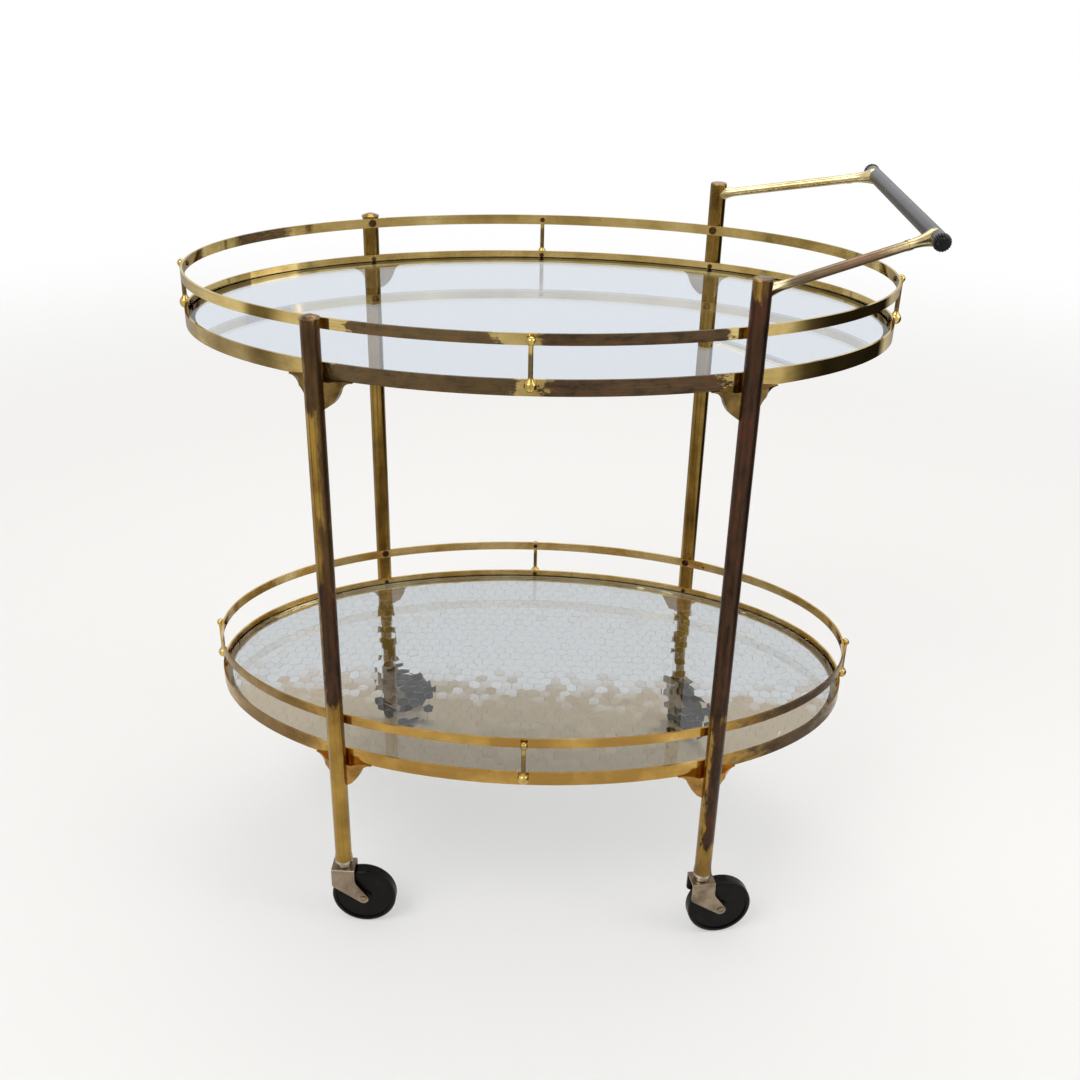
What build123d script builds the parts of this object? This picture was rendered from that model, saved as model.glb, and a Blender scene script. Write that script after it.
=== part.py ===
import os
from math import asin, cos, degrees, radians, sin, sqrt

from build123d import *

# Bar cart with two oval glass shelves, four tube legs, a push handle and swivel casters.
# Millimetres, +Z up, +X towards the handle, origin on the floor under the middle of the ovals.

os.makedirs("parts", exist_ok=True)

# Oval shelves
oval_length = 762.0
oval_width = 458.8
oval_split = 30.0
shelf_spacing = 452.5
gallery_height = 60.7
rail_height = 11.1
rim_height = 16.5
band_thickness = 2.4
ledge_width = 8.0
ledge_thickness = 2.4
glass_thickness = 6.0
glass_gap = 1.6
glass_edge_radius = 0.8

# Legs
leg_diameter = 19.05
leg_wall = 1.6
leg_angle = 57.4
leg_seat = 0.5
leg_foot = 137.0
short_leg_rise = 0.3
tall_leg_rise = 46.3
foot_flare = 0.9
foot_flare_height = 9.0
dome_flange = 0.9
dome_flange_thickness = 1.4
dome_height = 2.2
tall_cap_height = 2.4
tall_cap_rounding = 1.9
plug_fit = 0.05
plug_screw_gap = 0.4

# Brackets under the rims
bracket_reach = 37.0
bracket_height = 28.6
bracket_lip = 1.0
bracket_hollow_width = 12.1
bracket_hollow_drop = 10.0
bracket_cove_inset = 4.0
bracket_cove_drop = 19.0
bracket_cove_margin = 0.5
bracket_shoulder = 7.0
bracket_tip_thickness = 1.5

# Spindles between rail and rim
spindle_rod_radius = 2.4
spindle_top_radius = 4.4
spindle_foot_radius = 6.4
spindle_foot_drop = 4.8
spindle_offset = 4.2
spindle_flare = 1.6
flare_angle = 50.0

# Screws
leg_screw_radius = 2.4
leg_screw_head_radius = 4.6
small_screw_radius = 1.6
small_screw_head_radius = 2.8
screw_head_height = 1.2
screw_head_rounding = 0.7
screw_slot_width = 0.9
screw_slot_depth = 0.6
screw_reach = 3.5
screw_fit = 0.1
screw_seat_gap = 0.05

# Handle
arm_root_drop = 10.7
handle_out = 166.9
handle_inset = 65.3
handle_rise = 37.8
arm_radius = 4.75
arm_root_radius = 8.4
arm_root_flare = 13.0
arm_tip_radius = 8.6
arm_tip_flare = 19.0
arm_collar_length = 5.0
arm_collar_rise = 0.5
spigot_radius = 3.0
spigot_length = 6.0
spigot_fit = 0.1
spigot_root = 1.0
bar_radius = 7.9
bar_overhang = 28.8
end_cap_radius = 8.8
end_cap_length = 9.0
end_cap_rounding = 6.5
end_cap_ribs = 20
end_cap_rib_depth = 0.8

# Casters
wheel_diameter = 75.0
wheel_width = 17.5
tread_rounding = 4.0
wheel_recess_depth = 1.5
wheel_recess_margin = 5.5
hub_radius = 9.0
hub_rise = 0.6
axle_drop = 41.5
caster_trail = 22.7
fork_length = 27.0
fork_sheet = 2.0
fork_wheel_gap = 1.7
fork_leading_edge = 24.0
fork_trailing_edge = 18.0
fork_eye_radius = 6.0
fork_bend_radius = 14.0
fork_toe_radius = 4.0
fork_fold_radius = 1.6
axle_radius = 3.0
axle_head_radius = 4.2
axle_head_height = 1.2
axle_dimple_radius = 2.0
axle_dimple_depth = 0.7
stem_radius = 5.5
stem_neck_radius = 4.0
stem_rivet_radius = 6.0
stem_rivet_height = 1.2
socket_length = 38.0
socket_ring_height = 5.4
socket_ring_rise = 0.7
socket_ring_rounding = 1.8
socket_cup_radius = 9.0
socket_cup_height = 4.4
socket_cup_rounding = 0.8
swivel_gap = 0.3
running_fit = 0.05

# Where each piece stands
up = Vector(0, 0, 1)
oval_x = oval_length / 2
oval_y = oval_width / 2
inner_x = oval_x - band_thickness
inner_y = oval_y - band_thickness
leg_radius = leg_diameter / 2
leg_bore = leg_radius - leg_wall
plug_depth = short_leg_rise + rail_height / 2 - leg_screw_radius - plug_screw_gap
fork_top = wheel_diameter / 2 + axle_drop
socket_flange = socket_ring_height + socket_cup_height
leg_bottom = fork_top + swivel_gap + socket_flange
lower_rim_bottom = leg_bottom + leg_foot
rim_bottoms = {"lower": lower_rim_bottom, "upper": lower_rim_bottom + shelf_spacing}
upper_rail_top = rim_bottoms["upper"] + gallery_height
legs = {
    "front_left": 180 + leg_angle,
    "front_right": -leg_angle,
    "rear_left": 180 - leg_angle,
    "rear_right": leg_angle,
}
tall_legs = ("front_right", "rear_right")
spindles = {"front": -90.0, "rear": 90.0, "left": 180.0, "right": 0.0}
# Degrees from +X that each fork trails, as the cart was last pushed
caster_headings = {"front_left": -1.0, "front_right": 11.0, "rear_left": 10.0, "rear_right": -50.0}


def oval_normal(angle):
    return Vector(oval_y * cos(radians(angle)), oval_x * sin(radians(angle)), 0).normalized()


def oval_point(angle, outward, height):
    on_face = Vector(oval_x * cos(radians(angle)), oval_y * sin(radians(angle)), height)
    return on_face + oval_normal(angle) * outward


# An oval face, its outline split clear of the legs and spindles
def oval_face(semi_x, semi_y, mode=Mode.ADD):
    with BuildLine() as outline:
        for start, end in (
            (oval_split, 180 - oval_split),
            (180 - oval_split, 180 + oval_split),
            (180 + oval_split, 360 - oval_split),
            (360 - oval_split, 360 + oval_split),
        ):
            EllipticalCenterArc((0, 0), semi_x, semi_y, start, arc_size=end - start)
    make_face(outline.edges(), mode=mode)


# A level plane whose Y points straight out from the oval
def level_plane(angle, outward, height):
    return Plane(oval_point(angle, outward, height), x_dir=oval_normal(angle).cross(up), z_dir=up)


# A plane that faces outwards, on the outer face of the bands or the given distance from it
def wall_plane(angle, outward, height):
    normal = oval_normal(angle)
    return Plane(oval_point(angle, outward, height), x_dir=up.cross(normal), z_dir=normal)


def leg_plane(leg, height):
    return level_plane(legs[leg], leg_radius - leg_seat, height)


def leg_top(leg):
    return upper_rail_top + (tall_leg_rise if leg in tall_legs else short_leg_rise)


def rail_middle(rim_bottom):
    return rim_bottom + gallery_height - rail_height / 2


def rim_screw_height(rim_bottom):
    return rim_bottom + rim_height - spindle_foot_drop


def save(part, name):
    part.label = name
    export_step(part, f"parts/{name}.step")


# The handle's bar, and the line of each arm from its leg to the bar
arm_height = upper_rail_top + tall_leg_rise - arm_root_drop
tall_leg_axis = leg_plane("rear_right", arm_height).origin
bar_x = tall_leg_axis.X + handle_out
bar_z = arm_height + handle_rise
arm_tip_y = tall_leg_axis.Y - handle_inset
bar_half_length = arm_tip_y + bar_overhang - end_cap_length


def arm_plane(side):
    root = Vector(tall_leg_axis.X, side * tall_leg_axis.Y, arm_height)
    along = (Vector(bar_x, side * arm_tip_y, bar_z) - root).normalized()
    return Plane(root, x_dir=along, z_dir=along.cross(up))


arm_sides = {"front": -1, "rear": 1}
arm_span = Vector(handle_out, handle_inset, handle_rise).length


# Gallery rails, shelf rims and glass
for tier, rim_bottom in rim_bottoms.items():
    rail_bottom = rim_bottom + gallery_height - rail_height

    with BuildPart() as rail:
        with BuildSketch(Plane.XY.offset(rail_bottom)):
            oval_face(oval_x, oval_y)
            oval_face(inner_x, inner_y, mode=Mode.SUBTRACT)
        extrude(amount=rail_height)
        for angle in legs.values():
            with BuildSketch(wall_plane(angle, 0, rail_middle(rim_bottom))):
                Circle(leg_screw_radius + screw_fit)
            extrude(amount=2 * band_thickness, both=True, mode=Mode.SUBTRACT)
        for angle in spindles.values():
            with BuildSketch(wall_plane(angle, 0, rail_middle(rim_bottom))):
                Circle(small_screw_radius + screw_fit)
            extrude(amount=2 * band_thickness, both=True, mode=Mode.SUBTRACT)
    save(rail.part, f"{tier}_gallery_rail")

    with BuildPart() as rim:
        with BuildSketch(Plane.XY.offset(rim_bottom)):
            oval_face(oval_x, oval_y)
            oval_face(inner_x, inner_y, mode=Mode.SUBTRACT)
        extrude(amount=rim_height)
        with BuildSketch(Plane.XY.offset(rim_bottom)):
            oval_face(oval_x, oval_y)
            oval_face(inner_x - ledge_width, inner_y - ledge_width, mode=Mode.SUBTRACT)
        extrude(amount=ledge_thickness)
        for angle in [*legs.values(), *spindles.values()]:
            with BuildSketch(wall_plane(angle, 0, rim_screw_height(rim_bottom))):
                Circle(small_screw_radius + screw_fit)
            extrude(amount=2 * band_thickness, both=True, mode=Mode.SUBTRACT)
    save(rim.part, f"{tier}_shelf_rim")

    with BuildPart() as glass:
        with BuildSketch(Plane.XY.offset(rim_bottom + ledge_thickness)):
            oval_face(inner_x - glass_gap, inner_y - glass_gap)
        extrude(amount=glass_thickness)
        fillet(glass.edges().group_by(Axis.Z)[-1], glass_edge_radius)
    save(glass.part, f"{tier}_glass")


# Legs, with a shallow seat for each band, and their caps
for leg, angle in legs.items():
    top = leg_top(leg)

    with BuildPart() as tube:
        with BuildSketch(leg_plane(leg, leg_bottom)):
            Circle(leg_radius)
        extrude(amount=top - leg_bottom)
        with BuildSketch(leg_plane(leg, leg_bottom)):
            Circle(leg_radius + foot_flare)
        with BuildSketch(leg_plane(leg, leg_bottom + foot_flare_height)):
            Circle(leg_radius)
        loft()
        with BuildSketch(leg_plane(leg, leg_bottom)):
            Circle(leg_bore)
        extrude(amount=top - leg_bottom, mode=Mode.SUBTRACT)
        for rim_bottom in rim_bottoms.values():
            bands = {rim_bottom + rim_height / 2: rim_height, rail_middle(rim_bottom): rail_height}
            for band_middle, band_height in bands.items():
                with BuildSketch(wall_plane(angle, 0, band_middle)):
                    Rectangle(leg_diameter, band_height)
                extrude(amount=-leg_radius, mode=Mode.SUBTRACT)
            with BuildSketch(wall_plane(angle, 0, rail_middle(rim_bottom))):
                Circle(leg_screw_radius + screw_fit)
            extrude(amount=leg_radius, mode=Mode.SUBTRACT)
            with BuildSketch(wall_plane(angle, 0, rim_screw_height(rim_bottom))):
                Circle(small_screw_radius + screw_fit)
            extrude(amount=leg_radius, mode=Mode.SUBTRACT)
        if leg in tall_legs:
            axis_plane = arm_plane(1 if leg == "rear_right" else -1)
            with BuildSketch(Plane(axis_plane.origin, z_dir=axis_plane.x_dir)):
                Circle(spigot_radius + spigot_fit)
            extrude(amount=2 * leg_radius, mode=Mode.SUBTRACT)
    save(tube.part, f"leg_{leg}")

    with BuildPart() as cap:
        with BuildSketch(leg_plane(leg, top)):
            Circle(leg_bore - plug_fit)
        extrude(amount=-plug_depth)
        if leg in tall_legs:
            with BuildSketch(leg_plane(leg, top)):
                Circle(leg_radius)
            extrude(amount=tall_cap_height)
            fillet(cap.edges().group_by(Axis.Z)[-1], tall_cap_rounding)
        else:
            with BuildSketch(leg_plane(leg, top)):
                Circle(leg_radius + dome_flange)
            extrude(amount=dome_flange_thickness)
            with BuildSketch(leg_plane(leg, top + dome_flange_thickness)):
                Circle(leg_radius)
            with BuildSketch(leg_plane(leg, top + dome_flange_thickness + dome_height)):
                Circle(leg_radius - 2 * dome_height)
            loft()
    save(cap.part, f"leg_cap_{leg}")


# Brackets: an ogee towards the middle of the long side and a cove towards the end of the oval,
# drawn out to the leg in plan, saddled round the tube
cove_reach = bracket_reach - bracket_cove_inset
cove_foot = leg_radius + bracket_cove_margin
leg_spread = Vector(oval_x * sin(radians(leg_angle)), oval_y * cos(radians(leg_angle))).length
rim_curve_radius = leg_spread**3 / (oval_x * oval_y)
rim_sag = bracket_reach**2 / (2 * rim_curve_radius)
for tier, rim_bottom in rim_bottoms.items():
    for leg in legs:
        level = leg_plane(leg, rim_bottom)
        inwards = -1 if level.origin.X * level.x_dir.X > 0 else 1
        upright = Plane(level.origin, x_dir=level.x_dir * inwards, z_dir=level.y_dir * -inwards)
        tip_y = leg_seat - leg_radius - rim_sag
        reach_in = 2 * (band_thickness + leg_radius)

        with BuildPart() as bracket:
            with BuildSketch(level):
                with BuildLine():
                    shoulder = leg_radius + bracket_shoulder
                    Line((0, 0), (shoulder, 0))
                    TangentArc(
                        (bracket_reach, tip_y + bracket_tip_thickness), (shoulder, 0), tangent=(-1, 0)
                    )
                    Polyline(
                        (bracket_reach, tip_y + bracket_tip_thickness),
                        (bracket_reach, tip_y - reach_in),
                        (0, tip_y - reach_in),
                        (0, 0),
                    )
                make_face()
                mirror(about=Plane.YZ)
            extrude(amount=-bracket_height)
            with BuildSketch(upright):
                with BuildLine():
                    hollow = TangentArc(
                        (bracket_reach, -bracket_lip),
                        (bracket_reach - bracket_hollow_width, -bracket_hollow_drop),
                        tangent=(-1, 0),
                    )
                    belly = TangentArc(hollow @ 1, (leg_radius, -bracket_height), tangent=hollow % 1)
                    cove = TangentArc(
                        (-cove_reach, -bracket_lip), (-cove_foot, -bracket_cove_drop), tangent=(1, 0)
                    )
                    Polyline(belly @ 1, (-cove_foot, -bracket_height), cove @ 1)
                    Polyline(cove @ 0, (-cove_reach, 0), (bracket_reach, 0), hollow @ 0)
                make_face()
            extrude(amount=reach_in, both=True, mode=Mode.INTERSECT)
            with BuildSketch(Plane.XY.offset(rim_bottom)):
                oval_face(inner_x, inner_y)
            extrude(amount=-bracket_height, mode=Mode.SUBTRACT)
            with BuildSketch(level):
                Circle(leg_radius)
            extrude(amount=-bracket_height, mode=Mode.SUBTRACT)
        save(bracket.part, f"{tier}_bracket_{leg}")


# Spindles, seated on the outer faces of rail and rim
for tier, rim_bottom in rim_bottoms.items():
    top_ball = rail_middle(rim_bottom)
    foot_ball = rim_screw_height(rim_bottom)
    ball_spacing = top_ball - foot_ball
    for side, angle in spindles.items():
        normal = oval_normal(angle)
        axis_foot = oval_point(angle, spindle_offset, foot_ball)
        upright = Plane(axis_foot, x_dir=normal, z_dir=normal.cross(up))

        with BuildPart() as spindle:
            with BuildSketch(upright):
                with BuildLine():
                    foot = CenterArc((0, 0), spindle_foot_radius, -90, 90 + flare_angle)
                    head = CenterArc((0, ball_spacing), spindle_top_radius, -flare_angle, 90 + flare_angle)
                    Polyline(
                        foot @ 1,
                        (spindle_rod_radius, spindle_foot_radius + spindle_flare),
                        (spindle_rod_radius, ball_spacing - spindle_top_radius - spindle_flare),
                        head @ 0,
                    )
                    Line(head @ 1, foot @ 0)
                make_face()
            revolve(axis=Axis(upright.origin, up))
            with BuildSketch(wall_plane(angle, 0, foot_ball)):
                Rectangle(4 * spindle_foot_radius, 2 * gallery_height)
            extrude(amount=-2 * spindle_foot_radius, mode=Mode.SUBTRACT)
            for screw_height in (top_ball, foot_ball):
                with BuildSketch(wall_plane(angle, 0, screw_height)):
                    Circle(small_screw_radius + screw_fit)
                extrude(amount=screw_reach + screw_fit, mode=Mode.SUBTRACT)
        save(spindle.part, f"{tier}_spindle_{side}")


# Slotted screws, driven from inside the bands
def make_screw(shank_radius, head_radius):
    with BuildPart() as screw:
        with BuildSketch(Plane.XY.offset(-band_thickness - screw_seat_gap)):
            Circle(head_radius)
        extrude(amount=-screw_head_height)
        fillet(screw.edges().group_by(Axis.Z)[0], screw_head_rounding)
        with BuildSketch(Plane.XY.offset(-band_thickness - screw_seat_gap - screw_head_height)):
            Rectangle(2 * head_radius, screw_slot_width)
        extrude(amount=screw_slot_depth, mode=Mode.SUBTRACT)
        with BuildSketch(Plane.XY.offset(-band_thickness - screw_seat_gap)):
            Circle(shank_radius)
        extrude(amount=band_thickness + screw_seat_gap + screw_reach)
    return screw.part


leg_screw = make_screw(leg_screw_radius, leg_screw_head_radius)
small_screw = make_screw(small_screw_radius, small_screw_head_radius)

with BuildPart() as rail_screws:
    for rim_bottom in rim_bottoms.values():
        with Locations(*[wall_plane(angle, 0, rail_middle(rim_bottom)) for angle in legs.values()]):
            add(leg_screw)
save(rail_screws.part, "rail_screws")

with BuildPart() as rim_screws:
    for rim_bottom in rim_bottoms.values():
        with Locations(*[wall_plane(angle, 0, rim_screw_height(rim_bottom)) for angle in legs.values()]):
            add(small_screw)
save(rim_screws.part, "rim_screws")

with BuildPart() as spindle_screws:
    for rim_bottom in rim_bottoms.values():
        for screw_height in (rail_middle(rim_bottom), rim_screw_height(rim_bottom)):
            with Locations(*[wall_plane(angle, 0, screw_height) for angle in spindles.values()]):
                add(small_screw)
save(spindle_screws.part, "spindle_screws")


# Handle arms: a rod with a trumpet at each end, cut to fit the leg and the bar
for side_name, side in arm_sides.items():
    axis_plane = arm_plane(side)
    root_flare_end = leg_radius + arm_root_flare
    tip_flare_start = arm_span - bar_radius - arm_tip_flare

    with BuildPart() as arm:
        with BuildSketch(axis_plane):
            with BuildLine():
                Polyline((leg_radius / 2, arm_root_radius), (leg_radius / 2, 0), (arm_span, 0))
                Line((arm_span, 0), (arm_span, arm_tip_radius))
                Line((arm_span, arm_tip_radius), (arm_span - bar_radius / 2, arm_tip_radius))
                TangentArc(
                    (tip_flare_start, arm_radius),
                    (arm_span - bar_radius / 2, arm_tip_radius),
                    tangent=(1, 0),
                )
                Polyline(
                    (tip_flare_start, arm_radius),
                    (tip_flare_start, arm_radius + arm_collar_rise),
                    (tip_flare_start - arm_collar_length, arm_radius + arm_collar_rise),
                    (tip_flare_start - arm_collar_length, arm_radius),
                    (root_flare_end, arm_radius),
                )
                TangentArc(
                    (root_flare_end, arm_radius), (leg_radius / 2, arm_root_radius), tangent=(-1, 0)
                )
            make_face()
        revolve(axis=Axis(axis_plane.origin, axis_plane.x_dir))
        with BuildSketch(leg_plane("rear_right" if side > 0 else "front_right", leg_bottom)):
            Circle(leg_radius)
        extrude(amount=leg_top("rear_right") - leg_bottom, mode=Mode.SUBTRACT)
        with BuildSketch(Plane((bar_x, 0, bar_z), z_dir=(0, 1, 0))):
            Circle(bar_radius)
        extrude(amount=bar_half_length, both=True, mode=Mode.SUBTRACT)
        with BuildSketch(Plane(axis_plane.origin, z_dir=axis_plane.x_dir).offset(leg_radius + spigot_root)):
            Circle(spigot_radius)
        extrude(amount=-spigot_length)
        tip_seat = arm_span - bar_radius - spigot_root
        with BuildSketch(Plane(axis_plane.origin, z_dir=axis_plane.x_dir).offset(tip_seat)):
            Circle(spigot_radius)
        extrude(amount=spigot_length)
    save(arm.part, f"handle_arm_{side_name}")

with BuildPart() as bar:
    with BuildSketch(Plane((bar_x, 0, bar_z), z_dir=(0, 1, 0))):
        Circle(bar_radius)
    extrude(amount=bar_half_length, both=True)
    for side in arm_sides.values():
        axis_plane = arm_plane(side)
        seat = Plane(axis_plane.origin, z_dir=axis_plane.x_dir).offset(arm_span - 2 * bar_radius)
        with BuildSketch(seat):
            Circle(spigot_radius + spigot_fit)
        extrude(amount=bar_radius - spigot_root + spigot_length + spigot_fit, mode=Mode.SUBTRACT)
        with BuildSketch(Plane((bar_x, side * bar_half_length, bar_z), z_dir=(0, side, 0))):
            Circle(spigot_radius + spigot_fit)
        extrude(amount=-spigot_length - spigot_fit, mode=Mode.SUBTRACT)
save(bar.part, "handle_bar")

for side_name, side in arm_sides.items():
    end = Plane((bar_x, side * bar_half_length, bar_z), z_dir=(0, side, 0))

    with BuildPart() as end_cap:
        with BuildSketch(end):
            Circle(end_cap_radius)
            with PolarLocations(end_cap_radius, end_cap_ribs):
                Circle(end_cap_rib_depth, mode=Mode.SUBTRACT)
        extrude(amount=end_cap_length)
        with BuildSketch(Plane(end.origin, x_dir=(1, 0, 0), z_dir=(0, 0, 1))):
            with BuildLine():
                crown = side * end_cap_length
                shoulder_x = end_cap_radius - end_cap_rounding
                Polyline((shoulder_x, crown), (0, crown), (0, 0), (end_cap_radius, 0))
                Line((end_cap_radius, 0), (end_cap_radius, crown - side * end_cap_rounding))
                TangentArc(
                    (end_cap_radius, crown - side * end_cap_rounding),
                    (shoulder_x, crown),
                    tangent=(0, side),
                )
            make_face()
        revolve(axis=Axis(end.origin, (0, 1, 0)), mode=Mode.INTERSECT)
        with BuildSketch(end):
            Circle(spigot_radius)
        extrude(amount=-spigot_length)
    save(end_cap.part, f"handle_end_cap_{side_name}")


# Casters: a socket fixed in the leg, and a stem, fork and axle that swivel in it
def heading_vector(leg):
    return Vector(cos(radians(caster_headings[leg])), sin(radians(caster_headings[leg])), 0)


# The side view of a fork: X along the trail, Y up, origin on the stem's axis at the fork's top
def fork_plane(leg):
    heading = heading_vector(leg)
    return Plane(leg_plane(leg, fork_top).origin, x_dir=heading, z_dir=heading.cross(up))


# Where a line from a point touches the eye, on the left or right of its way there
def eye_tangent(start, turn):
    away = Vector(caster_trail, -axle_drop) - Vector(*start)
    spread = turn * degrees(asin(fork_eye_radius / away.length))
    reach = sqrt(away.length**2 - fork_eye_radius**2)
    touch = Vector(*start) + away.normalized().rotate(Axis.Z, spread) * reach
    return (touch.X, touch.Y)


wheel_half = wheel_width / 2
fork_inner_half = wheel_half + fork_wheel_gap
fork_outer_half = fork_inner_half + fork_sheet
for leg in legs:
    side_view = fork_plane(leg)
    eye = Plane(
        side_view.origin + side_view.x_dir * caster_trail - up * axle_drop,
        x_dir=side_view.x_dir,
        z_dir=side_view.z_dir,
    )

    with BuildPart() as socket:
        with BuildSketch(leg_plane(leg, leg_bottom)):
            Circle(leg_radius + socket_ring_rise)
        extrude(amount=-socket_ring_height)
        fillet(socket.edges().filter_by(GeomType.CIRCLE), socket_ring_rounding)
        with BuildSketch(leg_plane(leg, leg_bottom)):
            Circle(socket_cup_radius)
        extrude(amount=-socket_flange)
        fillet(socket.edges().group_by(Axis.Z)[0], socket_cup_rounding)
        with BuildSketch(leg_plane(leg, leg_bottom)):
            Circle(leg_bore - plug_fit)
        extrude(amount=socket_length)
        with BuildSketch(leg_plane(leg, leg_bottom - socket_flange)):
            Circle(stem_radius + running_fit)
        extrude(amount=socket_flange + socket_length, mode=Mode.SUBTRACT)
    save(socket.part, f"caster_socket_{leg}")

    with BuildPart() as stem:
        with BuildSketch(leg_plane(leg, fork_top)):
            Circle(stem_radius)
        extrude(amount=leg_bottom + socket_length - fork_top)
        with BuildSketch(leg_plane(leg, fork_top)):
            Circle(stem_neck_radius)
        extrude(amount=-fork_sheet)
        with BuildSketch(leg_plane(leg, fork_top - fork_sheet)):
            Circle(stem_rivet_radius)
        extrude(amount=-stem_rivet_height)
    save(stem.part, f"caster_stem_{leg}")

    with BuildPart() as fork:
        with BuildSketch(side_view) as outline:
            with BuildLine():
                lead = (-fork_length / 2, -fork_leading_edge)
                trail = (fork_length / 2, -fork_trailing_edge)
                Polyline(
                    (caster_trail, -axle_drop),
                    eye_tangent(lead, -1),
                    lead,
                    (-fork_length / 2, 0),
                    (fork_length / 2, 0),
                    trail,
                    eye_tangent(trail, 1),
                    close=True,
                )
            make_face()
            with Locations((caster_trail, -axle_drop)):
                Circle(fork_eye_radius)
            fillet(outline.vertices().sort_by_distance(trail)[0], fork_bend_radius)
            fillet(outline.vertices().sort_by_distance(lead)[0], fork_toe_radius)
        extrude(amount=fork_outer_half, both=True)
        folds = fork.edges().group_by(Axis.Z)[-1].filter_by(Axis(side_view.origin, side_view.x_dir))
        fillet(folds, fork_fold_radius)
        with BuildSketch(side_view):
            with Locations((caster_trail / 2, -fork_sheet)):
                Rectangle(4 * fork_length, 2 * axle_drop, align=(Align.CENTER, Align.MAX))
        extrude(amount=fork_inner_half, both=True, mode=Mode.SUBTRACT)
        with BuildSketch(leg_plane(leg, fork_top)):
            Circle(stem_neck_radius + running_fit)
        extrude(amount=-fork_sheet, mode=Mode.SUBTRACT)
        with BuildSketch(eye):
            Circle(axle_radius + running_fit)
        extrude(amount=fork_outer_half, both=True, mode=Mode.SUBTRACT)
    save(fork.part, f"caster_fork_{leg}")

    with BuildPart() as axle:
        with BuildSketch(eye):
            Circle(axle_radius)
        extrude(amount=fork_outer_half, both=True)
        for direction in (1, -1):
            with BuildSketch(eye.offset(direction * fork_outer_half)):
                Circle(axle_head_radius)
            extrude(amount=direction * axle_head_height)
            with BuildSketch(eye.offset(direction * (fork_outer_half + axle_head_height))):
                Circle(axle_dimple_radius)
            extrude(amount=-direction * axle_dimple_depth, mode=Mode.SUBTRACT)
    save(axle.part, f"caster_axle_{leg}")

    with BuildPart() as wheel:
        with BuildSketch(eye):
            Circle(wheel_diameter / 2)
        extrude(amount=wheel_half, both=True)
        fillet(wheel.edges(), tread_rounding)
        for direction in (1, -1):
            with BuildSketch(eye.offset(direction * wheel_half)):
                Circle(wheel_diameter / 2 - wheel_recess_margin)
                Circle(hub_radius, mode=Mode.SUBTRACT)
            extrude(amount=-direction * wheel_recess_depth, mode=Mode.SUBTRACT)
            with BuildSketch(eye.offset(direction * wheel_half)):
                Circle(hub_radius)
            extrude(amount=direction * hub_rise)
        with BuildSketch(eye):
            Circle(axle_radius + running_fit)
        extrude(amount=wheel_half + hub_rise, both=True, mode=Mode.SUBTRACT)
    save(wheel.part, f"wheel_{leg}")
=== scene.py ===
import math
import random
import bpy
import bmesh
from mathutils import Matrix, Vector


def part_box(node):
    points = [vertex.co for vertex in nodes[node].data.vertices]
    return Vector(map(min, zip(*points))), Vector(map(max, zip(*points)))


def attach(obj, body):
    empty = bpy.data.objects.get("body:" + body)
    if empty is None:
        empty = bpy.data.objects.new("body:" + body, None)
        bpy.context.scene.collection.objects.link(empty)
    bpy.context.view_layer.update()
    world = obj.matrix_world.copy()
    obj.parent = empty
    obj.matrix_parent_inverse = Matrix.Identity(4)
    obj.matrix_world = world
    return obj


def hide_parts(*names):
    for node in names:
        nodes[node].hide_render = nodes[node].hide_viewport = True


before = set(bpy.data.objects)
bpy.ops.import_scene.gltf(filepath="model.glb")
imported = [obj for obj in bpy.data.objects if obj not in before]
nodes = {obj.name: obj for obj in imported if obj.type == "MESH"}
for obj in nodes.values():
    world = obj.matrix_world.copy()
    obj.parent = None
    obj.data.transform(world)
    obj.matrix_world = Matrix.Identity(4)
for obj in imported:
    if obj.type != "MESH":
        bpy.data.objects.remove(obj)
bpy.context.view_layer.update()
mm = 0.001
legs = ("front_left", "front_right", "rear_left", "rear_right")
print("frame:", len(nodes), "nodes loaded")


def linear(code):
    # sRGB hex to the linear colour that the shaders take
    parts = [int(code[i:i + 2], 16) / 255 for i in (1, 3, 5)]
    return [c / 12.92 if c <= 0.04045 else ((c + 0.055) / 1.055) ** 2.4 for c in parts] + [1]


def addNode(tree, kind, settings, inputs):
    # one node with its settings, fixed values and links; "stops" fills a colour ramp
    node = tree.nodes.new(kind)
    for name, value in settings.items():
        if name == "stops":
            ramp = node.color_ramp.elements
            while len(ramp) < len(value):
                ramp.new(0.5)
            for element, (place, colour) in zip(ramp, value):
                element.position = place
                element.color = linear(colour)
        else:
            setattr(node, name, value)
    for name, value in inputs.items():
        if isinstance(value, bpy.types.NodeSocket):
            tree.links.new(value, node.inputs[name])
        else:
            node.inputs[name].default_value = value
    return node


def startMaterial(name):
    material = bpy.data.materials.new(name)
    material.use_nodes = True
    tree = material.node_tree
    tree.nodes.clear()
    place = addNode(tree, "ShaderNodeTexCoord", {}, {}).outputs["Object"]
    return material, tree, place


def closeMaterial(tree, shader):
    addNode(tree, "ShaderNodeOutputMaterial", {}, {"Surface": shader.outputs[0]})


def coat(material, *names):
    # gives CAD nodes their finish
    for name in names:
        mesh = nodes[name].data
        for i in range(len(mesh.materials)):
            mesh.materials[i] = material


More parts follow.
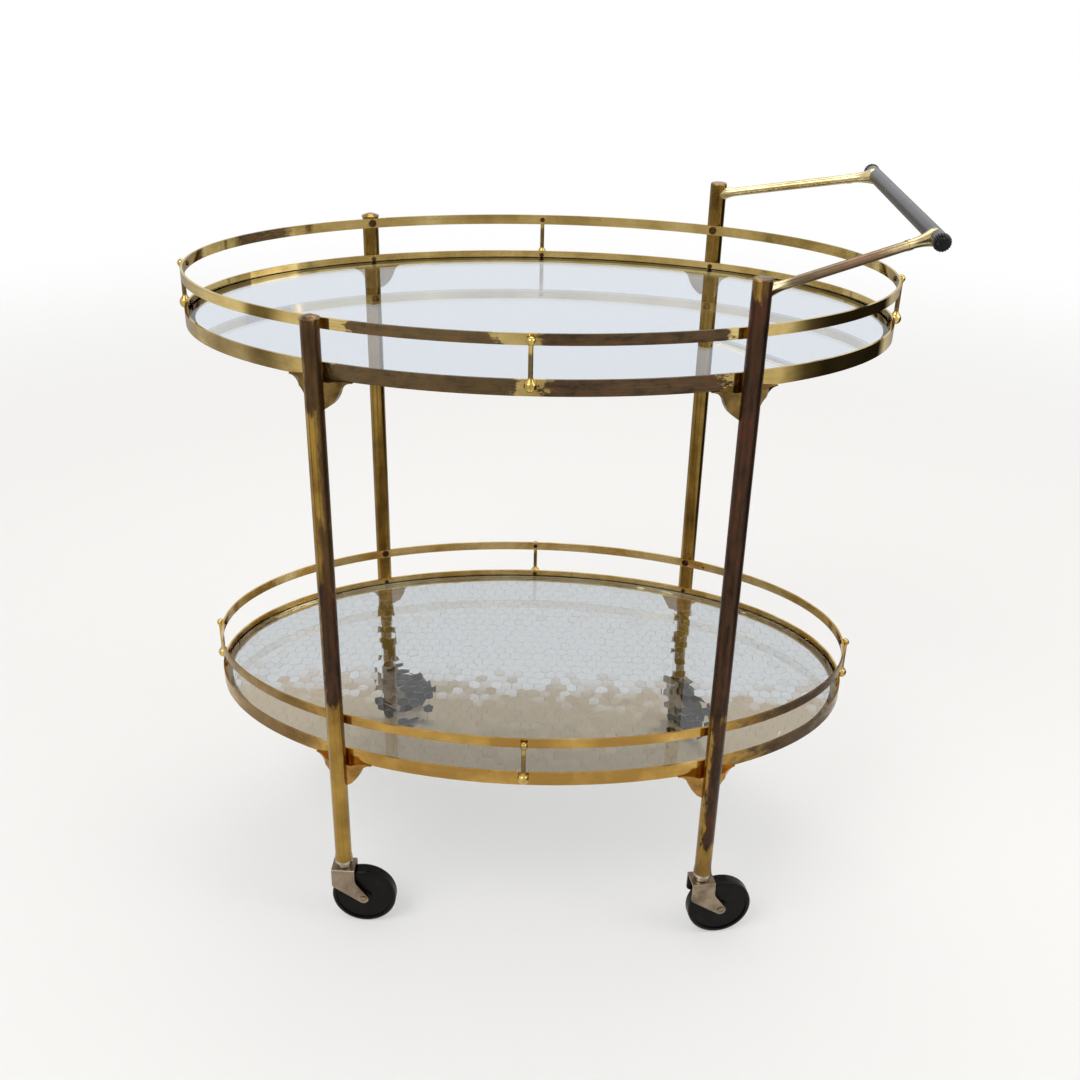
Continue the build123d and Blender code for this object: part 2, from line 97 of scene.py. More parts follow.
def brownArea(tree, place, tongues, flow, patch):
    # share of brown in one box; its edge strays with the tongues, further where the flow is small
    away = addNode(tree, "ShaderNodeVectorMath", {"operation": "SUBTRACT"}, {
        0: place, 1: [c * mm for c in patch["centre"]]}).outputs[0]
    away = addNode(tree, "ShaderNodeVectorMath", {"operation": "ABSOLUTE"}, {0: away}).outputs[0]
    away = addNode(tree, "ShaderNodeVectorMath", {"operation": "SUBTRACT"}, {
        0: away, 1: [h * mm for h in patch["half"]]}).outputs[0]
    away = addNode(tree, "ShaderNodeVectorMath", {"operation": "MULTIPLY"}, {
        0: away, 1: flow}).outputs[0]
    sides = addNode(tree, "ShaderNodeSeparateXYZ", {}, {0: away}).outputs
    far = addNode(tree, "ShaderNodeMath", {"operation": "MAXIMUM"}, {
        0: sides[0], 1: sides[1]}).outputs[0]
    far = addNode(tree, "ShaderNodeMath", {"operation": "MAXIMUM"}, {
        0: far, 1: sides[2]}).outputs[0]
    shift = addNode(tree, "ShaderNodeMapRange", {"clamp": False}, {
        "Value": tongues, "From Min": 0.25, "From Max": 0.75,
        "To Min": -patch["wander"] * mm, "To Max": patch["wander"] * mm}).outputs[0]
    far = addNode(tree, "ShaderNodeMath", {"operation": "ADD"}, {0: far, 1: shift}).outputs[0]
    return addNode(tree, "ShaderNodeMapRange", {"interpolation_type": "SMOOTHSTEP"}, {
        "Value": far, "From Min": -patch["soft"] * mm, "From Max": patch["soft"] * mm,
        "To Min": patch["share"], "To Max": 0.0}).outputs[0]


# Aged brass: a yellow copper and zinc alloy, polished once and left to tarnish. It mirrors softly,
# goes from yellow to orange in clouds, and is brown and dull where the oxide has taken over, with
# ragged edges.
def makeBrass(name, look, patches=()):
    material, tree, place = startMaterial(name)
    clouds = addNode(tree, "ShaderNodeTexNoise", {}, {
        "Vector": place, "Scale": 1 / (look["cloud"] * mm),
        "Detail": 4.0, "Roughness": 0.6}).outputs["Fac"]
    if look["paintedRearLight"]:  # painted light: the brass grows paler towards the rear, lifting the rear bands that mirror darker surroundings
        depth = addNode(tree, "ShaderNodeSeparateXYZ", {}, {0: place}).outputs[1]
        clouds = addNode(tree, "ShaderNodeMath", {"operation": "MULTIPLY_ADD"}, {
            0: depth, 1: look["paintedRearLight"], 2: clouds}).outputs[0]
    brass = addNode(tree, "ShaderNodeValToRGB", {"stops": [
        (0.30, look["deep"]), (0.50, look["fresh"]), (0.72, look["pale"])]}, {
        "Fac": clouds}).outputs["Color"]
    # drawing marks run along the length: fine lines, wide enough here to show
    along = place
    for axis, angle in look["turn"]:
        along = addNode(tree, "ShaderNodeVectorRotate", {"rotation_type": axis}, {
            "Vector": along, "Angle": math.radians(angle)}).outputs[0]
    stretch = [1 / (size * mm) for size in look["grain"]]
    lines = addNode(tree, "ShaderNodeTexNoise", {}, {
        "Vector": addNode(tree, "ShaderNodeVectorMath", {"operation": "MULTIPLY"}, {
            0: along, 1: stretch}).outputs[0],
        "Scale": 1.0, "Detail": 2.0}).outputs["Fac"]
    lineShare = addNode(tree, "ShaderNodeMapRange", {}, {
        "Value": lines, "From Min": 0.52, "From Max": 0.72,
        "To Min": 0.0, "To Max": look["lined"]}).outputs[0]
    lined = addNode(tree, "ShaderNodeMix", {"data_type": "RGBA"}, {
        0: lineShare, 6: brass, 7: linear(look["line"])}).outputs[2]
    # pin-head tarnish spots
    spots = addNode(tree, "ShaderNodeTexVoronoi", {}, {
        "Vector": place, "Scale": 1 / (look["spotGap"] * mm), "Randomness": 1.0}).outputs["Distance"]
    spotSize = addNode(tree, "ShaderNodeTexNoise", {}, {
        "Vector": place, "Scale": 1 / (look["spotGroup"] * mm), "Detail": 1.0}).outputs["Fac"]
    spotReach = addNode(tree, "ShaderNodeMapRange", {}, {
        "Value": spotSize, "From Min": 0.55, "From Max": 0.8,
        "To Min": 0.0, "To Max": look["spot"]}).outputs[0]
    spotted = addNode(tree, "ShaderNodeMath", {"operation": "LESS_THAN"}, {
        0: spots, 1: spotReach}).outputs[0]
    # ragged edge of the brown areas: broad tongues and fine specks
    tongues = addNode(tree, "ShaderNodeTexNoise", {}, {
        "Vector": addNode(tree, "ShaderNodeVectorMath", {"operation": "MULTIPLY"}, {
            0: along, 1: [1 / (size * mm) for size in look["ragged"]]}).outputs[0],
        "Scale": 1.0, "Detail": 8.0, "Roughness": 0.72}).outputs["Fac"]
    brown = spotted
    for patch in patches:
        share = brownArea(tree, place, tongues, look["flow"], patch)
        brown = addNode(tree, "ShaderNodeMath", {"operation": "MAXIMUM"}, {
            0: brown, 1: share}).outputs[0]
    # worn lines, where the brass shows through again
    worn = addNode(tree, "ShaderNodeMapRange", {}, {
        "Value": lines, "From Min": 0.5, "From Max": 0.72,
        "To Min": 1.0, "To Max": 1 - look["worn"]}).outputs[0]
    brown = addNode(tree, "ShaderNodeMath", {"operation": "MULTIPLY"}, {0: brown, 1: worn}).outputs[0]
    oxide = addNode(tree, "ShaderNodeValToRGB", {"stops": [
        (0.36, look["oxideDark"]), (0.5, look["oxide"]), (0.66, look["oxideRed"])]}, {
        "Fac": tongues}).outputs["Color"]
    colour = addNode(tree, "ShaderNodeMix", {"data_type": "RGBA"}, {
        0: brown, 6: lined, 7: oxide}).outputs[2]
    shine = addNode(tree, "ShaderNodeMapRange", {}, {
        "Value": tongues, "From Min": 0.3, "From Max": 0.7,
        "To Min": look["rough"][0], "To Max": look["rough"][1]}).outputs[0]
    rough = addNode(tree, "ShaderNodeMix", {"data_type": "FLOAT"}, {
        0: brown, 2: shine, 3: look["oxideRough"]}).outputs[0]
    metal = addNode(tree, "ShaderNodeMapRange", {}, {
        "Value": brown, "To Min": 1.0, "To Max": look["oxideMetal"]}).outputs[0]
    dents = addNode(tree, "ShaderNodeBump", {}, {
        "Strength": look["bump"], "Distance": look["dent"] * mm, "Height": lines}).outputs[0]
    closeMaterial(tree, addNode(tree, "ShaderNodeBsdfPrincipled", {}, {
        "Base Color": colour, "Metallic": metal, "Roughness": rough,
        "Specular IOR Level": look["mirror"], "Normal": dents}))
    return material


# sizes in millimetres: clouds, drawing lines, gaps between spots, tongues of the brown areas, dents
tubeLook = {
    "pale": "#B08E48", "fresh": "#987738", "deep": "#785A2A", "line": "#564320", "lined": 0.35,
    "oxide": "#412D1F", "oxideDark": "#2A1D14", "oxideRed": "#563021",
    "cloud": 45.0, "paintedRearLight": 0.0, "grain": (1.6, 1.6, 200.0), "turn": (),
    "spotGap": 22.0, "spotGroup": 48.4, "spot": 0.10,
    "ragged": (11.0, 11.0, 44.0), "flow": (1.0, 1.0, 0.3), "worn": 0.06,
    "rough": (0.12, 0.26), "oxideRough": 0.30, "oxideMetal": 0.7, "mirror": 0.25,
    "bump": 0.25, "dent": 0.05}
rearTubeLook = dict(tubeLook, pale="#A08042", fresh="#866A32", deep="#664C25")
bandLook = dict(
    tubeLook, pale="#DCC688", fresh="#C2A869", deep="#A0884E", line="#7A6438", lined=0.25,
    oxide="#503E2B", oxideDark="#382B20", oxideRed="#5E422B", cloud=60.0,
    grain=(60.0, 60.0, 1.6), ragged=(18.0, 18.0, 9.0), flow=(0.5, 1.0, 1.0), rough=(0.04, 0.10))
# the lower bands grow paler towards the rear: painted light
lowerLook = dict(
    bandLook, pale="#E2CC96", fresh="#BE9850", deep="#A27D40", paintedRearLight=0.6,
    spot=0.16, spotGap=16.0, spotGroup=35.2, rough=(0.08, 0.18))
armLook = dict(
    tubeLook, pale="#E0D2A6", fresh="#CAB888", deep="#A39064",
    oxide="#66503E", oxideDark="#4A392C", oxideRed="#745643",
    grain=(160.0, 1.6, 1.6), ragged=(44.0, 8.0, 8.0), flow=(0.5, 0.5, 0.5), bump=0.05)
frontArmLook = dict(armLook, turn=(("Z_AXIS", -21.4), ("Y_AXIS", 11.9)))
rearArmLook = dict(armLook, turn=(("Z_AXIS", 21.4), ("Y_AXIS", 11.9)))
# the upper brackets' cast brass is dark brown: partly tarnish, partly painted shade
castLookWithShade = dict(
    tubeLook, pale="#8E7444", fresh="#715A32", deep="#503E22", cloud=16.0, grain=(9.0, 9.0, 9.0),
    lined=0.12, ragged=(12.0, 12.0, 12.0), flow=(1.0, 1.0, 1.0), rough=(0.10, 0.2), bump=0.12)
goldenCastLook = dict(castLookWithShade, pale="#BE9450", fresh="#A57C42", deep="#80602F")
turnedLook = dict(castLookWithShade, pale="#DCC27E", fresh="#C4A75E", deep="#8E7440")
brownedLook = dict(castLookWithShade, pale="#6E5230", fresh="#533A26", deep="#37271C", rough=(0.35, 0.5))

# brown areas: boxes in millimetres, by the legs' axes and by heights over the floor; "wander" and "soft"
# say how far an edge strays and fades
legLow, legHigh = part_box("leg_front_right")
axisX = (legLow.x + legHigh.x) / 2 / mm
faceY = (legLow.y + legHigh.y) / 2 / mm - 5  # the front of the front legs
frontLeftPatches = [
    {"centre": (-axisX + 3, faceY, 698), "half": (12, 9, 48), "wander": 6, "soft": 2.2, "share": 0.9},
    {"centre": (-axisX + 11.5, faceY, 590), "half": (9, 9, 70), "wander": 4, "soft": 3.0, "share": 0.9},
    {"centre": (-axisX + 7, faceY, 480), "half": (9, 9, 50), "wander": 5, "soft": 3.0, "share": 0.85},
    {"centre": (-axisX + 3, faceY, 386), "half": (10, 9, 76), "wander": 6, "soft": 2.0, "share": 1.0}]
frontRightPatches = [
    {"centre": (axisX, faceY, 543), "half": (14, 9, 236), "wander": 6, "soft": 2.0, "share": 1.0},
    {"centre": (axisX + 4, faceY, 780), "half": (9, 9, 24), "wander": 6, "soft": 3.0, "share": 0.85},
    {"centre": (axisX, faceY, 776), "half": (14, 9, 30), "wander": 8, "soft": 5.0, "share": 0.4},
    {"centre": (axisX + 4, faceY, 222), "half": (9.5, 9, 88), "wander": 6, "soft": 1.6, "share": 1.0},
    {"centre": (axisX, faceY, 96), "half": (14, 9, 26), "wander": 8, "soft": 8.0, "share": 0.5}]
frontArmPatches = [
    {"centre": (285, -165, 793), "half": (54, 60, 40), "wander": 10, "soft": 8.0, "share": 0.92}]
upperRailPatches = [
    {"centre": (-102, -226, 733), "half": (72, 60, 20), "wander": 9, "soft": 1.6, "share": 0.9},
    {"centre": (95, -226, 733), "half": (90, 60, 20), "wander": 9, "soft": 1.6, "share": 1.0},
    {"centre": (-321, 123, 733), "half": (25, 40, 20), "wander": 4, "soft": 3.0, "share": 0.9}]
upperRimPatches = [
    {"centre": (-103, -226, 687), "half": (90, 60, 20), "wander": 9, "soft": 1.6, "share": 0.94},
    {"centre": (97, -226, 687), "half": (86, 60, 20), "wander": 9, "soft": 1.6, "share": 1.0},
    {"centre": (-290, -150, 687), "half": (50, 45, 20), "wander": 14, "soft": 14.0, "share": 0.5}]
lowerPatches = [
    {"centre": (-300, -135, 255), "half": (62, 80, 60), "wander": 24, "soft": 24.0, "share": 0.6},
    {"centre": (310, -130, 255), "half": (66, 90, 60), "wander": 24, "soft": 24.0, "share": 0.95}]
spindlePatches = [
    {"centre": (0, 0, 710), "half": (420, 260, 12), "wander": 3, "soft": 3.0, "share": 0.8},
    {"centre": (0, 0, 258), "half": (420, 260, 12), "wander": 3, "soft": 3.0, "share": 0.7}]

coat(makeBrass("agedBrassTubeFrontLeft", tubeLook, frontLeftPatches),
     "leg_front_left", "leg_cap_front_left")
coat(makeBrass("agedBrassTubeFrontRight", tubeLook, frontRightPatches),
     "leg_front_right", "leg_cap_front_right")
coat(makeBrass("polishedBrassTube", rearTubeLook),
     "leg_rear_left", "leg_rear_right", "leg_cap_rear_left", "leg_cap_rear_right")
coat(makeBrass("paleBrassArm", rearArmLook), "handle_arm_rear")
coat(makeBrass("agedBrassArm", frontArmLook, frontArmPatches), "handle_arm_front")
coat(makeBrass("agedBrassUpperRail", bandLook, upperRailPatches), "upper_gallery_rail")
coat(makeBrass("agedBrassUpperRim", bandLook, upperRimPatches), "upper_shelf_rim")
coat(makeBrass("goldenBrassBand", lowerLook, lowerPatches), "lower_gallery_rail", "lower_shelf_rim")
castBrass = {"upper": makeBrass("brownCastBrassWithShade", castLookWithShade),
             "lower": makeBrass("goldenCastBrass", goldenCastLook)}
turnedBrass = makeBrass("turnedBrass", turnedLook, spindlePatches)
for level in ("upper", "lower"):
    coat(castBrass[level], *[level + "_bracket_" + leg for leg in legs])
    coat(turnedBrass, *[level + "_spindle_" + side for side in ("front", "rear", "left", "right")])
coat(makeBrass("brownedScrewBrass", brownedLook), "rail_screws", "rim_screws", "spindle_screws")
print("brass: done")


def cloudedSurface(tree, place, look, stops):
    # colour and roughness in clouds, and a fine grit, drawn coarse enough to show
    clouds = addNode(tree, "ShaderNodeTexNoise", {}, {
        "Vector": place, "Scale": 1 / (look["cloud"] * mm),
        "Detail": 6.0, "Roughness": 0.7}).outputs["Fac"]
    colour = addNode(tree, "ShaderNodeValToRGB", {"stops": stops}, {"Fac": clouds}).outputs["Color"]
    rough = addNode(tree, "ShaderNodeMapRange", {}, {
        "Value": clouds, "From Min": 0.3, "From Max": 0.7,
        "To Min": look["rough"][0], "To Max": look["rough"][1]}).outputs[0]
    grit = addNode(tree, "ShaderNodeTexNoise", {}, {
        "Vector": place, "Scale": 1 / (look["grit"] * mm), "Detail": look["gritDetail"]}).outputs["Fac"]
    dents = addNode(tree, "ShaderNodeBump", {}, {
        "Strength": look["bump"], "Distance": look["dent"] * mm, "Height": grit}).outputs[0]
    return {"Base Color": colour, "Roughness": rough, "Normal": dents}


# Pressed and plated steel: a grey-brown satin sheet with dirt in clouds and a fine grit.
def makeSteel(name, look):
    material, tree, place = startMaterial(name)
    surface = cloudedSurface(tree, place, look, [
        (0.33, look["deep"]), (0.52, look["fresh"]), (0.7, look["pale"])])
    closeMaterial(tree, addNode(tree, "ShaderNodeBsdfPrincipled", {}, {**surface, "Metallic": 1.0}))
    return material


# sizes in millimetres; the roughness goes from the deep clouds to the pale ones
forkSteel = makeSteel("platedForkSteel", {
    "pale": "#A79682", "fresh": "#92826D", "deep": "#746451", "cloud": 22.0, "rough": (0.4, 0.26),
    "grit": 0.8, "gritDetail": 2.0, "bump": 0.2, "dent": 0.05})
brightSteel = makeSteel("nickelPlatedSteel", {
    "pale": "#D8D2C6", "fresh": "#B9B0A0", "deep": "#7D7062", "cloud": 8.0, "rough": (0.3, 0.14),
    "grit": 0.8, "gritDetail": 2.0, "bump": 0.15, "dent": 0.05})


# Hard black rubber and glossy black plastic: deep black, a dusty bloom in clouds, fine scuffs.
def makeBlack(name, look):
    material, tree, place = startMaterial(name)
    surface = cloudedSurface(tree, place, look, [(0.4, look["fresh"]), (0.75, look["dust"])])
    closeMaterial(tree, addNode(tree, "ShaderNodeBsdfPrincipled", {}, {
        **surface, "IOR": 1.5, "Specular IOR Level": look["mirror"],
        "Specular Tint": linear(look["sheen"]), "Coat Weight": look["coat"], "Coat Roughness": 0.12}))
    return material


# sizes in millimetres; the roughness goes from the fresh black to the dust
wheelRubber = makeBlack("hardBlackRubber", {
    "fresh": "#080605", "dust": "#191511", "cloud": 16.0, "rough": (0.24, 0.42),
    "grit": 1.2, "gritDetail": 3.0, "bump": 0.3, "dent": 0.08,
    "mirror": 0.12, "sheen": "#FFFFFF", "coat": 0.0})
barBlack = makeBlack("glossBlackPhenolic", {
    "fresh": "#15151A", "dust": "#24242B", "cloud": 20.0, "rough": (0.22, 0.34),
    "grit": 2.5, "gritDetail": 3.0, "bump": 0.1, "dent": 0.08,
    "mirror": 0.5, "sheen": "#CDD2F0", "coat": 0.3})
capBlack = makeBlack("ribbedBlackPhenolic", {
    "fresh": "#040405", "dust": "#0A0A0C", "cloud": 20.0, "rough": (0.06, 0.12),
    "grit": 2.5, "gritDetail": 3.0, "bump": 0.05, "dent": 0.08,
    "mirror": 0.2, "sheen": "#FFFFFF", "coat": 0.0})
coat(barBlack, "handle_bar")
for leg in legs:
    coat(brightSteel, "caster_socket_" + leg, "caster_stem_" + leg)
    coat(forkSteel, "caster_fork_" + leg, "caster_axle_" + leg)
    coat(wheelRubber, "wheel_" + leg)
print("steel and rubber: done")

# in millimetres, and the crease in radians
endCap = {
    "length": 9.0, "crown": 6.4, "crownSteps": 10, "ribs": 20, "ribDepth": 0.9, "segments": 160,
    "crease": 0.9}


def makeEndCap(side, size):
    # a moulded black dome with ribs that run over its edge
    outward = -1 if side == "front" else 1
    low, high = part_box("handle_end_cap_" + side)
    middle = (low + high) / 2
    radius = (high.z - low.z) / 2
    bm = bmesh.new()
    bmesh.ops.create_cone(bm, cap_ends=True, segments=size["segments"], radius1=radius, radius2=radius,
                          depth=size["length"] * mm)
    rim = [e for e in bm.edges if all(v.co.z > 0 for v in e.verts)]
    bmesh.ops.bevel(bm, geom=rim, offset=size["crown"] * mm, offset_type="OFFSET", affect="EDGES",
                    segments=size["crownSteps"], profile=0.5, material=-1)
    for v in bm.verts:
        wave = 0.5 + 0.5 * math.cos(size["ribs"] * math.atan2(v.co.y, v.co.x))
        inward = size["ribDepth"] * mm * wave ** 3 / radius
        v.co.x *= 1 - inward
        v.co.y *= 1 - inward
    bmesh.ops.rotate(bm, verts=bm.verts, matrix=Matrix.Rotation(-outward * math.pi / 2, 3, "X"))
    outer = high.y if outward > 0 else low.y
    bmesh.ops.translate(bm, verts=bm.verts,
                        vec=(middle.x, outer - outward * size["length"] * mm / 2, middle.z))
    for face in bm.faces:
        face.smooth = True
    for edge in bm.edges:
        edge.smooth = edge.calc_face_angle(0.0) < size["crease"]
    mesh = bpy.data.meshes.new("ribbedEndCap")
    bm.to_mesh(mesh)
    bm.free()
    piece = bpy.data.objects.new("ribbed_end_cap_" + side, mesh)
    bpy.context.scene.collection.objects.link(piece)
    mesh.materials.append(capBlack)
    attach(piece, "frame")
    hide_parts("handle_end_cap_" + side)


for side in ("front", "rear"):
    makeEndCap(side, endCap)
print("end caps: done")


# Soda-lime glass: clear, a faint cool tint, smooth faces with a slight film.
def makeGlass(name, look):
    material, tree, place = startMaterial(name)
    film = addNode(tree, "ShaderNodeTexNoise", {}, {
        "Vector": place, "Scale": 1 / (look["film"] * mm), "Detail": 3.0}).outputs["Fac"]
    rough = addNode(tree, "ShaderNodeMapRange", {}, {
        "Value": film, "From Min": 0.4, "From Max": 0.8,
        "To Min": look["rough"][0], "To Max": look["rough"][1]}).outputs[0]
    shader = addNode(tree, "ShaderNodeBsdfPrincipled", {}, {
        "Base Color": linear(look["tint"]), "Roughness": rough, "IOR": 1.52, "Transmission Weight": 1.0})
    closeMaterial(tree, shader)
    return material


clearGlass = makeGlass("clearFloatGlass", {"tint": "#D4DBE3", "film": 90.0, "rough": (0.0, 0.02)})
coat(clearGlass, "upper_glass")

# in millimetres, and the lean in degrees; the oval cuts the spare rows and columns off, and scraps of
# less than "least" square millimetres get no flat
# the grey tint is partly the pane's own, partly painted shade of the floor seen through it
hammered = {
    "node": "lower_glass", "across": 13.0, "row": 13.5, "spare": 4, "stray": 0.26, "seed": 7,
    "border": 0.15, "least": 40.0, "level": 0.3, "lean": 2.0, "sides": 120,
    "tint": "#C2C6C8", "film": 40.0, "rough": (0.0, 0.03)}


def makeHammeredGlass(size):
    # a flat pane whose underside is a net of many-sided facets, one for each hammer mark
    low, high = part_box(size["node"])
    middle = (low + high) / 2
    half = (high - low) / 2
    level = low.z + size["level"] * mm
    chance = random.Random(size["seed"])
    bm = bmesh.new()
    columns = int(2 * half.x / (size["across"] * mm)) + size["spare"]
    rows = int(2 * half.y / (size["row"] * mm)) + size["spare"]
    bmesh.ops.create_grid(bm, x_segments=columns, y_segments=rows, size=0.5)
    # one point for each mark: every second row stands half a step aside, and each point strays
    for v in bm.verts:
        row = round((v.co.y + 0.5) * rows)
        column = v.co.x * columns + (row % 2) / 2 + chance.uniform(-size["stray"], size["stray"])
        stray = chance.uniform(-size["stray"], size["stray"])
        v.co = Vector((middle.x + column * size["across"] * mm,
                       middle.y + (v.co.y * rows + stray) * size["row"] * mm, level))
    bmesh.ops.triangulate(bm, faces=bm.faces[:], quad_method="SHORT_EDGE")
    marks = [v for v in bm.verts if not v.is_boundary]
    spans = [e for e in bm.edges if not e.is_boundary]
    # borders between the marks: each edge between two points turns across the middles of its
    # triangles, and what lies round a point joins into one facet
    bmesh.ops.poke(bm, faces=bm.faces[:])
    bmesh.ops.rotate_edges(bm, edges=spans)
    bmesh.ops.dissolve_verts(bm, verts=marks)
    for i in range(size["sides"]):
        turn = 2 * math.pi * i / size["sides"]
        outward = Vector((math.cos(turn) / half.x, math.sin(turn) / half.y, 0)).normalized()
        border = Vector((middle.x + half.x * math.cos(turn), middle.y + half.y * math.sin(turn), level))
        bmesh.ops.bisect_plane(bm, geom=bm.verts[:] + bm.edges[:] + bm.faces[:], dist=1e-7,
                               plane_co=border, plane_no=outward, clear_outer=True)
    facets = bm.faces[:]
    made = bmesh.ops.extrude_face_region(bm, geom=facets, use_keep_orig=True)
    top = [g for g in made["geom"] if isinstance(g, bmesh.types.BMVert)]
    bmesh.ops.translate(bm, verts=top, vec=(0, 0, high.z - level))
    bmesh.ops.recalc_face_normals(bm, faces=bm.faces)
    # each mark is a leaning flat in the underside, inside a narrow border
    flats = [f for f in facets if f.calc_area() > size["least"] * mm * mm]
    bmesh.ops.inset_individual(bm, faces=flats, thickness=size["border"] * mm, use_even_offset=True)
    for face in flats:
        centre = face.calc_center_median()
        tilt = Vector([math.radians(chance.uniform(-size["lean"], size["lean"])) for axis in "xy"] + [0])
        for v in face.verts:
            v.co.z = max(low.z, level + tilt.dot(v.co - centre))
    mesh = bpy.data.meshes.new("hammeredGlass")
    bm.to_mesh(mesh)
    bm.free()
    piece = bpy.data.objects.new("hammered_glass", mesh)
    bpy.context.scene.collection.objects.link(piece)
    return piece


hammeredGlass = makeHammeredGlass(hammered)
hammeredGlass.data.materials.append(makeGlass("hammeredGlass", hammered))
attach(hammeredGlass, "frame")
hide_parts("lower_glass")
print("glass: done")

# studio: a pale floor that fades into a white surround, lit from the left; in metres, and the ring of
# colours goes once round, from the left by the front, the right and the rear
stage = {
    "floorSize": 12.0, "floorColour": "#E4E2DE", "floorWhite": 0.40,
    "fade": (1.3, 3.2), "mirrorFade": (0.45, 0.95),
    "glassShadeColour": "#DEC8A7", "glassFade": (0.25, 0.33),
    "worldLight": 0.70, "overhead": (0.0, 0.2), "ring": [
        (0.00, "#FFFFFF"), (0.022, "#FFFFFF"), (0.032, "#9A968B"), (0.056, "#9A968B"),
        (0.072, "#F4F2EE"), (0.19, "#FFFFFF"), (0.25, "#D0CDC7"), (0.30, "#FFFFFF"),
        (0.42, "#FFFFFF"), (0.436, "#A8A499"), (0.447, "#5A564C"), (0.47, "#322F29"),
        (0.59, "#211E1B"), (0.615, "#E0DEDA"), (0.66, "#B4AFA6"), (0.75, "#98938A"),
        (0.84, "#B4AFA6"), (0.93, "#E2DFDA"), (1.0, "#FFFFFF")]}
plainWhite = linear("#FFFFFF")


def seenRay(tree):
    # camera, mirror and glass rays see the surround; the rest only take its light
    path = addNode(tree, "ShaderNodeLightPath", {}, {}).outputs
    seen = addNode(tree, "ShaderNodeMath", {"operation": "ADD"}, {
        0: path["Is Camera Ray"], 1: path["Is Glossy Ray"]}).outputs[0]
    seen = addNode(tree, "ShaderNodeMath", {"operation": "ADD", "use_clamp": True}, {
        0: seen, 1: path["Is Transmission Ray"]}).outputs[0]
    # a ray through clear glass counts as glossy too, and isn't a mirror image
    mirrored = addNode(tree, "ShaderNodeMath", {"operation": "SUBTRACT", "use_clamp": True}, {
        0: path["Is Glossy Ray"], 1: path["Is Transmission Ray"]}).outputs[0]
    return seen, mirrored, path["Is Transmission Ray"]


bm = bmesh.new()
bmesh.ops.create_grid(bm, x_segments=1, y_segments=1, size=stage["floorSize"] / 2)
floorMesh = bpy.data.meshes.new("floor")
bm.to_mesh(floorMesh)
bm.free()
floor = bpy.data.objects.new("floor", floorMesh)
bpy.context.scene.collection.objects.link(floor)
material, tree, place = startMaterial("paleFloor")
seen, mirrored, through = seenRay(tree)
share = addNode(tree, "ShaderNodeMath", {"operation": "SUBTRACT"}, {0: seen, 1: through}).outputs[0]
share = addNode(tree, "ShaderNodeMath", {"operation": "MULTIPLY"}, {
    0: share, 1: stage["floorWhite"]}).outputs[0]
# seen through the glass, the floor near the cart takes a darker, warmer colour: painted shade under the
# cart
colour = addNode(tree, "ShaderNodeMix", {"data_type": "RGBA"}, {
    0: through, 6: linear(stage["floorColour"]), 7: linear(stage["glassShadeColour"])}).outputs[2]
pale = addNode(tree, "ShaderNodeBsdfDiffuse", {}, {"Color": colour})
white = addNode(tree, "ShaderNodeEmission", {}, {"Color": plainWhite, "Strength": 1.0})
ground = addNode(tree, "ShaderNodeMixShader", {}, {0: share, 1: pale.outputs[0], 2: white.outputs[0]})
reach = addNode(tree, "ShaderNodeVectorMath", {"operation": "LENGTH"}, {0: place}).outputs["Value"]
# mirrored in the metal it gives way to the surround sooner, and through the glass it ends behind the cart
depth = addNode(tree, "ShaderNodeSeparateXYZ", {}, {0: place}).outputs[1]
fades = [addNode(tree, "ShaderNodeMapRange", {"interpolation_type": "SMOOTHSTEP"}, {
    "Value": value, "From Min": stage[key][0], "From Max": stage[key][1]}).outputs[0]
    for key, value in (("fade", reach), ("mirrorFade", reach), ("glassFade", depth))]
fade = addNode(tree, "ShaderNodeMix", {"data_type": "FLOAT"}, {
    0: mirrored, 2: fades[0], 3: fades[1]}).outputs[0]
fade = addNode(tree, "ShaderNodeMix", {"data_type": "FLOAT"}, {
    0: through, 2: fade, 3: fades[2]}).outputs[0]
clear = addNode(tree, "ShaderNodeBsdfTransparent", {}, {})
closeMaterial(tree, addNode(tree, "ShaderNodeMixShader", {}, {
    0: fade, 1: ground.outputs[0], 2: clear.outputs[0]}))
floorMesh.materials.append(material)

world = bpy.data.worlds.new("studio")
world.use_nodes = True
bpy.context.scene.world = world
tree = world.node_tree
tree.nodes.clear()
seen, mirrored = seenRay(tree)[:2]
strength = addNode(tree, "ShaderNodeMapRange", {}, {
    "Value": seen, "To Min": stage["worldLight"], "To Max": 1.0}).outputs[0]
# metal mirrors the ring, bright to the left, in front and above, grey behind and dark to the right
facing = addNode(tree, "ShaderNodeTexCoord", {}, {}).outputs["Generated"]
sides = addNode(tree, "ShaderNodeSeparateXYZ", {}, {0: facing}).outputs
turn = addNode(tree, "ShaderNodeMath", {"operation": "ARCTAN2"}, {0: sides[1], 1: sides[0]}).outputs[0]
turn = addNode(tree, "ShaderNodeMapRange", {}, {
    "Value": turn, "From Min": -math.pi, "From Max": math.pi}).outputs[0]
ring = addNode(tree, "ShaderNodeValToRGB", {"stops": stage["ring"]}, {"Fac": turn}).outputs["Color"]
overhead = addNode(tree, "ShaderNodeMapRange", {}, {
    "Value": sides[2], "From Min": stage["overhead"][0], "From Max": stage["overhead"][1]}).outputs[0]
ring = addNode(tree, "ShaderNodeMix", {"data_type": "RGBA"}, {
    0: overhead, 6: ring, 7: plainWhite}).outputs[2]
colour = addNode(tree, "ShaderNodeMix", {"data_type": "RGBA"}, {
    0: mirrored, 6: plainWhite, 7: ring}).outputs[2]
surround = addNode(tree, "ShaderNodeBackground", {}, {"Color": colour, "Strength": strength})
addNode(tree, "ShaderNodeOutputWorld", {}, {"Surface": surround.outputs[0]})

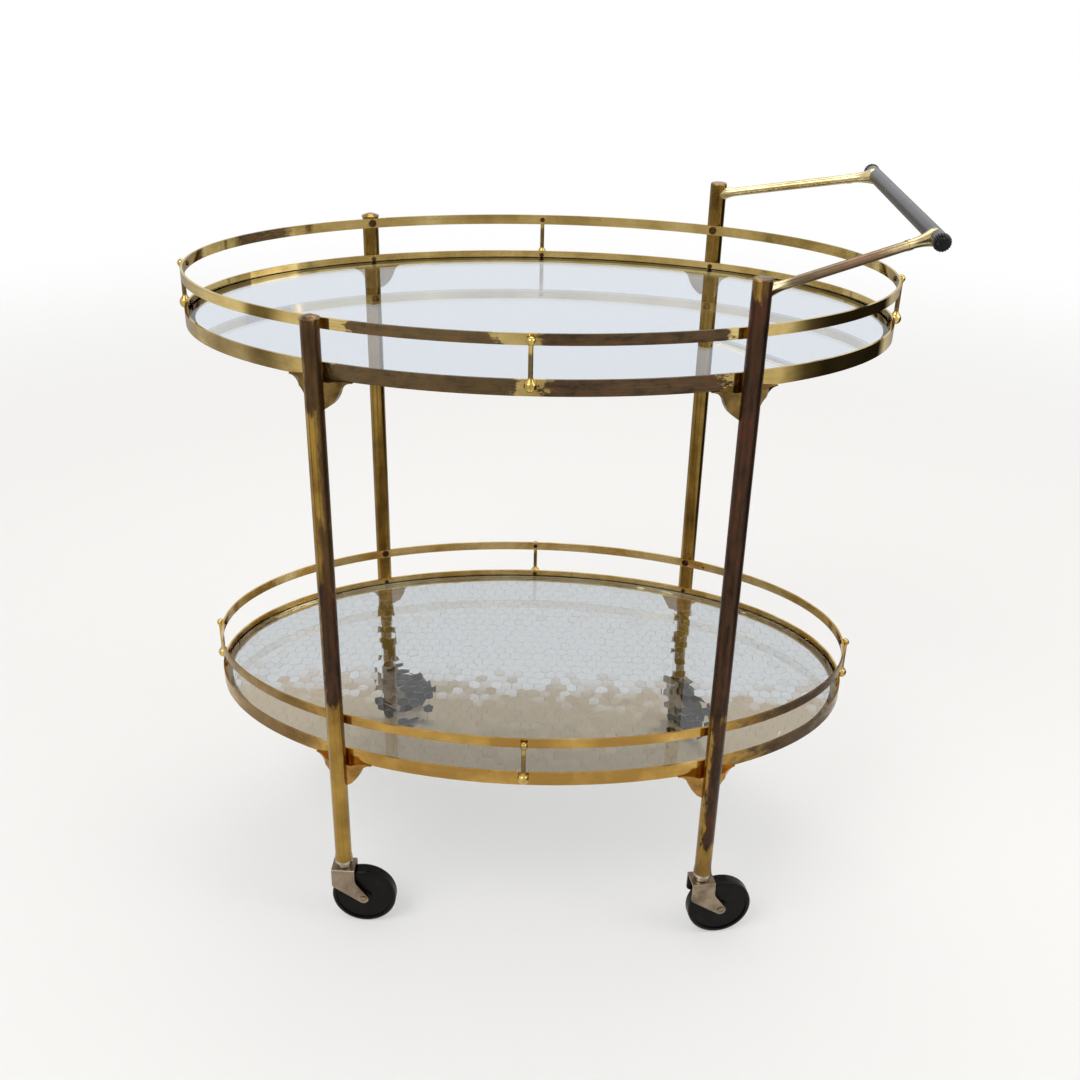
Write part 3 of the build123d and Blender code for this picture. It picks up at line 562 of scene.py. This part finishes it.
# in metres and watts
lamps = {
    "keyLamp": {"at": (-1.3, -1.5, 2.6), "size": (1.6, 1.2), "power": 30.0},
    "fillLamp": {"at": (1.9, -0.6, 2.0), "size": (1.2, 1.6), "power": 14.0},
    "topLamp": {"at": (0.2, 0.9, 2.8), "size": (2.0, 1.2), "power": 22.0}}
lampAim = Vector((0, 0, 0.45))
for name, lamp in lamps.items():
    light = bpy.data.lights.new(name, "AREA")
    light.shape = "RECTANGLE"
    light.size, light.size_y = lamp["size"]
    light.energy = lamp["power"]
    holder = bpy.data.objects.new(name, light)
    holder.location = lamp["at"]
    holder.rotation_euler = (lampAim - holder.location).to_track_quat("-Z", "Y").to_euler()
    bpy.context.scene.collection.objects.link(holder)

# camera found from the ovals, legs and spindles of the photograph: in millimetres and degrees, with the
# focal length, the middle and the frame in pixels
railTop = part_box("upper_gallery_rail")[1].z / mm
view = {
    "target": (-25.3, 0.0, railTop - 331.3), "distance": 1522.7,
    "yaw": 2.23, "pitch": 27.48, "roll": 0.66,
    "focal": 1282.0, "middle": 511.0, "frame": 1080.0}
yaw, pitch, roll = (math.radians(view[k]) for k in ("yaw", "pitch", "roll"))
back = Vector((math.sin(yaw) * math.cos(pitch), -math.cos(yaw) * math.cos(pitch), math.sin(pitch)))
right = (-back).cross(Vector((0, 0, 1))).normalized()
up = right.cross(-back)
across = math.cos(roll) * right + math.sin(roll) * up
upright = -math.sin(roll) * right + math.cos(roll) * up
cameraData = bpy.data.cameras.new("camera")
cameraData.sensor_width = 36.0
cameraData.lens = view["focal"] / view["frame"] * cameraData.sensor_width
cameraData.shift_x = 0.5 - view["middle"] / view["frame"]
camera = bpy.data.objects.new("camera", cameraData)
turn = Matrix((across, upright, back)).transposed().to_4x4()
camera.matrix_world = Matrix.Translation((Vector(view["target"]) + view["distance"] * back) * mm) @ turn
bpy.context.scene.collection.objects.link(camera)
bpy.context.scene.camera = camera
bpy.context.scene.view_settings.view_transform = "Standard"
print("studio and camera: done")
